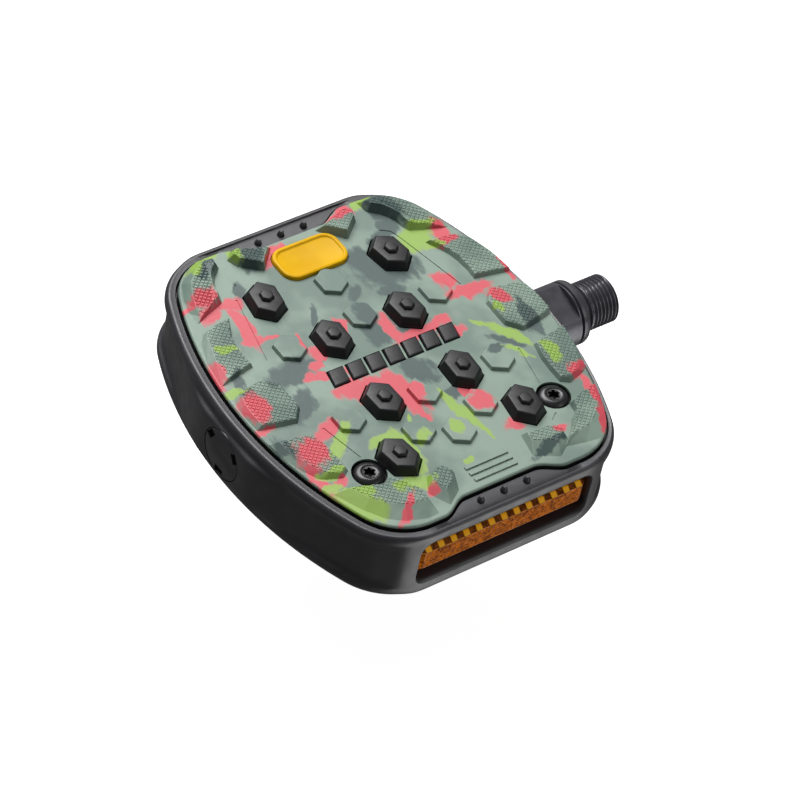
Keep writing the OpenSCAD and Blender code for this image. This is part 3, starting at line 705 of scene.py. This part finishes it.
class Tree:
    """A material's node tree, with one call per node."""

    def __init__(self, name):
        self.material = bpy.data.materials.new(name)
        self.material.use_nodes = True
        self.nodes, self.links = self.material.node_tree.nodes, self.material.node_tree.links
        self.shader = self.nodes["Principled BSDF"]

    def add(self, kind, settings=None, **inputs):
        """A node of that kind. An input is a value, or a socket to link, by name or as i and its number."""
        node = self.nodes.new("ShaderNode" + kind)
        for key, value in (settings or {}).items():
            setattr(node, key, value)
        for key, value in inputs.items():
            numbered = key[0] == "i" and key[1:].isdigit()
            self.set(node.inputs[int(key[1:]) if numbered else key.replace("_", " ")], value)
        return node

    def set(self, socket, value):
        """Links a socket to the input, or gives it a constant."""
        if isinstance(value, bpy.types.NodeSocket):
            self.links.new(value, socket)
        else:
            socket.default_value = value

    def shade(self, **inputs):
        """Inputs of the surface shader."""
        for key, value in inputs.items():
            self.set(self.shader.inputs[key.replace("_", " ")], value)

    def place(self):
        """Point on the piece, in metres."""
        return self.add("TexCoord").outputs["Object"]

    def noise(self, point, scale, detail=3.0, rough=0.5):
        return self.add("TexNoise", Vector=point, Scale=scale, Detail=detail, Roughness=rough)

    def math(self, operation, a, b=0.0, clamp=False):
        return self.add("Math", {"operation": operation, "use_clamp": clamp}, i0=a, i1=b).outputs[0]

    def span(self, value, low, high, to_low, to_high):
        """Smooth step of value from to_low at low to to_high at high."""
        node = self.add("MapRange", {"interpolation_type": "SMOOTHSTEP"}, Value=value)
        for key, limit in (("From Min", low), ("From Max", high), ("To Min", to_low), ("To Max", to_high)):
            node.inputs[key].default_value = limit
        return node.outputs[0]

    def mix(self, share, a, b):
        """Colour a, and b by that share."""
        node = self.add("Mix", {"data_type": "RGBA"})
        self.set(node.inputs[0], share)
        self.set(node.inputs[6], a)
        self.set(node.inputs[7], b)
        return node.outputs[2]

    def bump(self, height, strength, distance):
        return self.add("Bump", Height=height, Strength=strength, Distance=distance * MM).outputs[0]


def rgb(r, g, b):
    """Linear colour from its 8-bit display values."""
    def linear(v):
        v /= 255
        return v / 12.92 if v <= 0.04045 else ((v + 0.055) / 1.055) ** 2.4
    return (linear(r), linear(g), linear(b), 1.0)


def moulded(name, dark, light, rough, grain=0.04, specular=0.5, metal=0.0):
    """Moulded or painted surface: two close tones, uneven gloss and a fine grain."""
    t = Tree(name)
    point = t.place()
    cloud = t.noise(point, 90, 4).outputs[0]
    fine = t.noise(point, 2600, 2).outputs[0]
    t.shade(Base_Color=t.mix(t.span(cloud, 0.35, 0.65, 0, 1), dark, light),
            Roughness=t.span(t.noise(point, 260, 5).outputs[0], 0.3, 0.7, rough - 0.05, rough + 0.06),
            Normal=t.bump(fine, 0.35, grain), Metallic=metal, Specular_IOR_Level=specular)
    return t.material


# height above which the body's plastic is darker, and height below which the pad's side gets painted shade in
# near black
STUD_TONE_Z, EDGE_SHADE_Z = 13.1, 12.0


def shell(name):
    """Body plastic, duller and darker on the studs and bars than on the rim."""
    t = Tree(name)
    point = t.place()
    height = t.math("ABSOLUTE", t.add("SeparateXYZ", Vector=point).outputs[2])
    raised = t.span(height, (STUD_TONE_Z - 0.2) * MM, (STUD_TONE_Z + 0.2) * MM, 0, 1)
    tone = t.span(t.noise(point, 90, 4).outputs[0], 0.35, 0.65, 0, 1)
    rim = t.mix(tone, rgb(34, 34, 38), rgb(41, 41, 45))
    t.shade(Base_Color=t.mix(raised, rim, rgb(22, 22, 24)), Specular_IOR_Level=t.span(raised, 0, 1, 0.5, 0.3),
            Roughness=t.span(t.noise(point, 260, 5).outputs[0], 0.3, 0.7, 0.38, 0.48),
            Normal=t.bump(t.noise(point, 2600, 2).outputs[0], 0.35, 0.04))
    return t.material


def patch_field(tree, point, patches):
    """Depth inside the nearest patch: EDGE at its rim, 1 at its middle and 0 well outside it."""
    deepest = None
    for x, y, long, wide, turn in patches:
        blob = tree.add("TexGradient", {"gradient_type": "SPHERICAL"}, Vector=point)
        placing = blob.texture_mapping
        placing.vector_type = "TEXTURE"
        placing.translation = ((x + TREAD_X + MID_X) * MM, y * MM, 0)
        placing.rotation = (0, 0, math.radians(turn))
        placing.scale = (long * MM / (1 - EDGE), wide * MM / (1 - EDGE), 1)
        depth = blob.outputs["Fac"]
        deepest = depth if deepest is None else tree.math("MAXIMUM", deepest, depth)
    return deepest


def printed_rubber(name):
    """Sage rubber with smeared slate, pink and lime print, and painted shade in near black on the pad's side
    below the print.
    """
    t = Tree(name)
    point = t.place()
    wander = t.noise(point, 170, 2).outputs["Color"]
    ragged = t.noise(point, 900, 3, 0.6).outputs["Color"]

    def shifted(base, noise, size):
        centred = t.add("VectorMath", {"operation": "SUBTRACT"}, i0=noise, i1=(0.5, 0.5, 0.5)).outputs[0]
        scaled = t.add("VectorMath", {"operation": "SCALE"}, i0=centred, Scale=size * MM).outputs[0]
        return t.add("VectorMath", {"operation": "ADD"}, i0=base, i1=scaled).outputs[0]

    warped = shifted(shifted(point, wander, 5.0), ragged, 1.2)
    drawn_out = t.add("Mapping", Vector=point, Rotation=(0, 0, 0.6), Scale=(1, 0.3, 1)).outputs[0]
    streak = t.noise(drawn_out, 600, 3).outputs[0]
    tone = t.span(t.noise(point, 55, 3).outputs[0], 0.4, 0.62, 0, 1)
    colour = t.mix(tone, rgb(109, 126, 114), rgb(84, 102, 93))
    for patches, print_colour, wash, strength in (
            (SLATE, rgb(48, 65, 63), rgb(68, 87, 81), 0.95),
            (PINK, rgb(176, 60, 72), rgb(146, 101, 98), 0.95),
            (LIME, rgb(118, 148, 56), rgb(119, 136, 87), 0.9)):
        field = t.math("ADD", patch_field(t, warped, patches), t.span(streak, 0.3, 0.7, -0.12, 0.12))
        colour = t.mix(t.span(field, 0.13, EDGE, 0, 0.55), colour, wash)
        colour = t.mix(t.span(field, EDGE - 0.12, EDGE + 0.16, 0, strength), colour, print_colour)
    height = t.math("ABSOLUTE", t.add("SeparateXYZ", Vector=point).outputs[2])
    clear_of_edge_shade = t.span(height, (EDGE_SHADE_Z - 0.1) * MM, (EDGE_SHADE_Z + 0.1) * MM, 0, 1)
    # painted shade: the pad's side below the edge height is near black, standing in for the shadowed gap
    # between pad and rim
    colour = t.mix(clear_of_edge_shade, rgb(12, 14, 13), colour)
    t.shade(Base_Color=colour, Roughness=t.span(ragged, 0.3, 0.7, 0.44, 0.56),
            Normal=t.bump(t.noise(point, 1800, 3).outputs[0], 0.25, 0.05), Specular_IOR_Level=0.42)
    return t.material


def amber(name):
    """Moulded reflector plastic over a darker field of prisms, with painted highlights on the upper bevel's
    blocks and along the bevel's lower edge, and a faint painted glow.
    """
    t = Tree(name)
    point = t.place()
    axes = t.add("SeparateXYZ", Vector=point).outputs
    across = t.math("SUBTRACT", axes[0], MID_X * MM)
    phase = t.math("PINGPONG", t.math("DIVIDE", across, LENS_PITCH * MM), 0.5)
    upper = t.span(axes[2], 2.9 * MM, 3.0 * MM, 0, 1)
    high = t.span(axes[2], 3.1 * MM, 3.3 * MM, 0, 1)
    # painted highlight: the blocks on the upper bevel get a bright yellow, as if lit from above
    block = t.math("MULTIPLY", t.span(phase, 0.17, 0.27, 1, 0), high)
    height = t.math("ABSOLUTE", axes[2])
    # painted highlight: a pale line where the upper bevel meets the face
    painted_edge_highlight = t.math("MULTIPLY", t.span(height, 2.7 * MM, 2.8 * MM, 0, 0.6),
                  t.span(height, 2.95 * MM, 3.05 * MM, 1, 0))
    cells = t.add("TexVoronoi", {"feature": "F1"}, Vector=point, Scale=800).outputs["Distance"]
    flicker = t.noise(point, 900, 3, 0.7).outputs[0]
    shade = t.math("ADD", t.span(cells, 0.1, 0.6, 0.35, 0), t.span(flicker, 0.38, 0.62, 0, 0.65), True)
    field = t.mix(shade, rgb(206, 112, 6), rgb(84, 34, 0))
    bevel = t.mix(t.span(flicker, 0.4, 0.6, 0, 1), rgb(120, 62, 6), rgb(74, 34, 2))
    colour = t.mix(block, t.mix(upper, field, bevel), rgb(236, 168, 36))
    colour = t.mix(painted_edge_highlight, colour, rgb(226, 150, 92))
    # painted light: the lens glows faintly in its own colour to look brighter
    t.shade(Base_Color=colour, Roughness=t.span(flicker, 0.3, 0.7, 0.22, 0.34), Specular_IOR_Level=0.03,
            Normal=t.bump(flicker, 0.3, 0.1), Emission_Color=colour, Emission_Strength=0.2)
    return t.material


def steel(name, tone, rough):
    """Turned metal with fine rings about the spindle."""
    t = Tree(name)
    point = t.place()
    rings = t.noise(t.add("Mapping", Vector=point, Scale=(1, 0.04, 0.04)).outputs[0], 5200, 2).outputs[0]
    t.shade(Base_Color=t.mix(t.span(t.noise(point, 140, 4).outputs[0], 0.35, 0.65, 0, 1), tone,
                             tuple(0.8 * c for c in tone[:3]) + (1.0,)),
            Metallic=1.0, Roughness=t.span(rings, 0.3, 0.7, rough - 0.06, rough + 0.08),
            Normal=t.bump(rings, 0.25, 0.02))
    return t.material


# ---- build ----

shell_plastic = shell("shell_plastic")
pad_rubber = printed_rubber("pad_rubber")
plate_yellow = moulded("plate_yellow", rgb(182, 138, 2), rgb(190, 147, 4), 0.42, 0.03, 0.1)
screw_black = moulded("screw_black", rgb(26, 26, 28), rgb(38, 38, 40), 0.3, 0.02, 0.6, 0.4)
lens_amber = amber("lens_amber")
spindle_black = moulded("spindle_black", rgb(66, 66, 71), rgb(76, 76, 81), 0.32, 0.03, 0.6, 0.5)

PLATFORM = "platform_body"


def dress(obj, material, body, node):
    """Gives a piece its material and slot, and lets it ride in the place of a CAD node."""
    obj.data.materials.clear()
    obj.data.materials.append(material)
    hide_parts(node)
    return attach(obj, body)


def turned_copy(obj, name):
    """The same piece turned half a turn about the spindle."""
    copy = bpy.data.objects.new(name, obj.data)
    bpy.context.scene.collection.objects.link(copy)
    copy.matrix_world = Matrix.Rotation(math.pi, 4, "X")
    return copy


dress(build_body(), shell_plastic, PLATFORM, "pedal_body")
for build, name, material, first, second in (
        (build_pad, "pad", pad_rubber, "top_pad", "bottom_pad"),
        (build_plate, "plate", plate_yellow, "top_badge", "bottom_badge"),
        (build_screws, "screws", screw_black, "top_pad_screws", "bottom_pad_screws"),
        (build_lens, "lens", lens_amber, "front_lens", "rear_lens")):
    piece = build(name + "_first")
    dress(piece, material, PLATFORM, first)
    dress(turned_copy(piece, name + "_second"), material, PLATFORM, second)
dress(build_cap("dust_cap"), shell_plastic, PLATFORM, "end_cap")
dress(build_spindle("axle"), spindle_black, "spindle_body", "spindle")

# CAD nodes that keep their own shape, mostly inside the pedal
bright_steel = steel("bright_steel", rgb(176, 178, 182), 0.2)
zinc_steel = steel("zinc_steel", rgb(150, 152, 158), 0.34)
turned_brass = steel("turned_brass", rgb(184, 148, 78), 0.3)
back_plastic = moulded("back_plastic", rgb(34, 22, 18), rgb(44, 28, 22), 0.4)
soft_black = moulded("soft_black", rgb(18, 18, 18), rgb(26, 26, 26), 0.6, 0.05, 0.3)
bush_grey = moulded("bush_grey", rgb(140, 138, 130), rgb(156, 153, 144), 0.5)
for material, nodes in (
        (bright_steel, ("bearing_inner_ring", "bearing_outer_ring", "bearing_shield", "bearing_balls")),
        (zinc_steel, ("thrust_washer", "lock_nut")),
        (turned_brass, ("bearing_cage", "top_screw_inserts", "bottom_screw_inserts")),
        (back_plastic, ("front_reflector_back", "rear_reflector_back")),
        (soft_black, ("end_cap_o_ring", "lip_seal")),
        (bush_grey, ("inboard_bush",))):
    for node in nodes:
        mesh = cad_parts[node].data
        mesh.materials.clear()
        mesh.materials.append(material)

# ---- stage ----

# the floor lies clear of the platform's swing about the spindle
FLOOR_Z, FLOOR_HW = -(RIM_HL + 3), 9000
corners = ((-1, -1), (1, -1), (1, 1), (-1, 1))
floor = make("floor", [(x * FLOOR_HW, y * FLOOR_HW, FLOOR_Z) for x, y in corners], [[0, 1, 2, 3]])
pale = Tree("pale_floor")
pale.shade(Base_Color=(0.3, 0.3, 0.3, 1), Roughness=0.9, Specular_IOR_Level=0.1,
           Emission_Color=(1, 1, 1, 1), Emission_Strength=0.93)
floor.data.materials.append(pale.material)
floor.visible_glossy = floor.visible_diffuse = floor.visible_shadow = False

camera = bpy.data.objects.new("camera", bpy.data.cameras.new("camera"))
bpy.context.scene.collection.objects.link(camera)
camera.data.lens, camera.data.sensor_width = 180, 36
AZIMUTH, ELEVATION, ROLL = math.radians(-44.63), math.radians(46.0), math.radians(12.97)
CAMERA_SPOT = Vector((-529.0 + TREAD_X + MID_X, -542.1, 780.4)) * MM
back = Vector((math.sin(AZIMUTH) * math.cos(ELEVATION), -math.cos(AZIMUTH) * math.cos(ELEVATION),
               math.sin(ELEVATION)))
turn = back.to_track_quat("Z", "Y").to_matrix() @ Matrix.Rotation(ROLL, 3, "Z")
camera.matrix_world = Matrix.Translation(CAMERA_SPOT) @ turn.to_4x4()
camera.data.clip_start, camera.data.clip_end = 0.05, 50
bpy.context.scene.camera = camera


def softbox(name, spot, size, energy):
    """Area light at spot, in metres, that faces the object."""
    data = bpy.data.lights.new(name, "AREA")
    data.shape, data.size, data.energy = "SQUARE", size, energy
    light = bpy.data.objects.new(name, data)
    bpy.context.scene.collection.objects.link(light)
    middle = Vector((MID_X * MM, 0, 0))
    light.location = middle + Vector(spot)
    light.rotation_euler = Vector(spot).to_track_quat("Z", "Y").to_euler()
    return light


softbox("key", (0.06, 0.75, 1.05), 1.0, 35)
softbox("front_fill", (0.7, -1.1, 0.7), 0.8, 4)
# only for the reflections in the front face
sheen = softbox("front_sheen", (0.35, -1.05, -0.6), 1.2, 14)
sheen.visible_diffuse = False
world = bpy.data.worlds.new("studio")
bpy.context.scene.world = world
world.use_nodes = True
world.node_tree.nodes["Background"].inputs[0].default_value = (1, 1, 1, 1)
world.node_tree.nodes["Background"].inputs[1].default_value = 0.2
bpy.context.scene.view_settings.view_transform = "Standard"
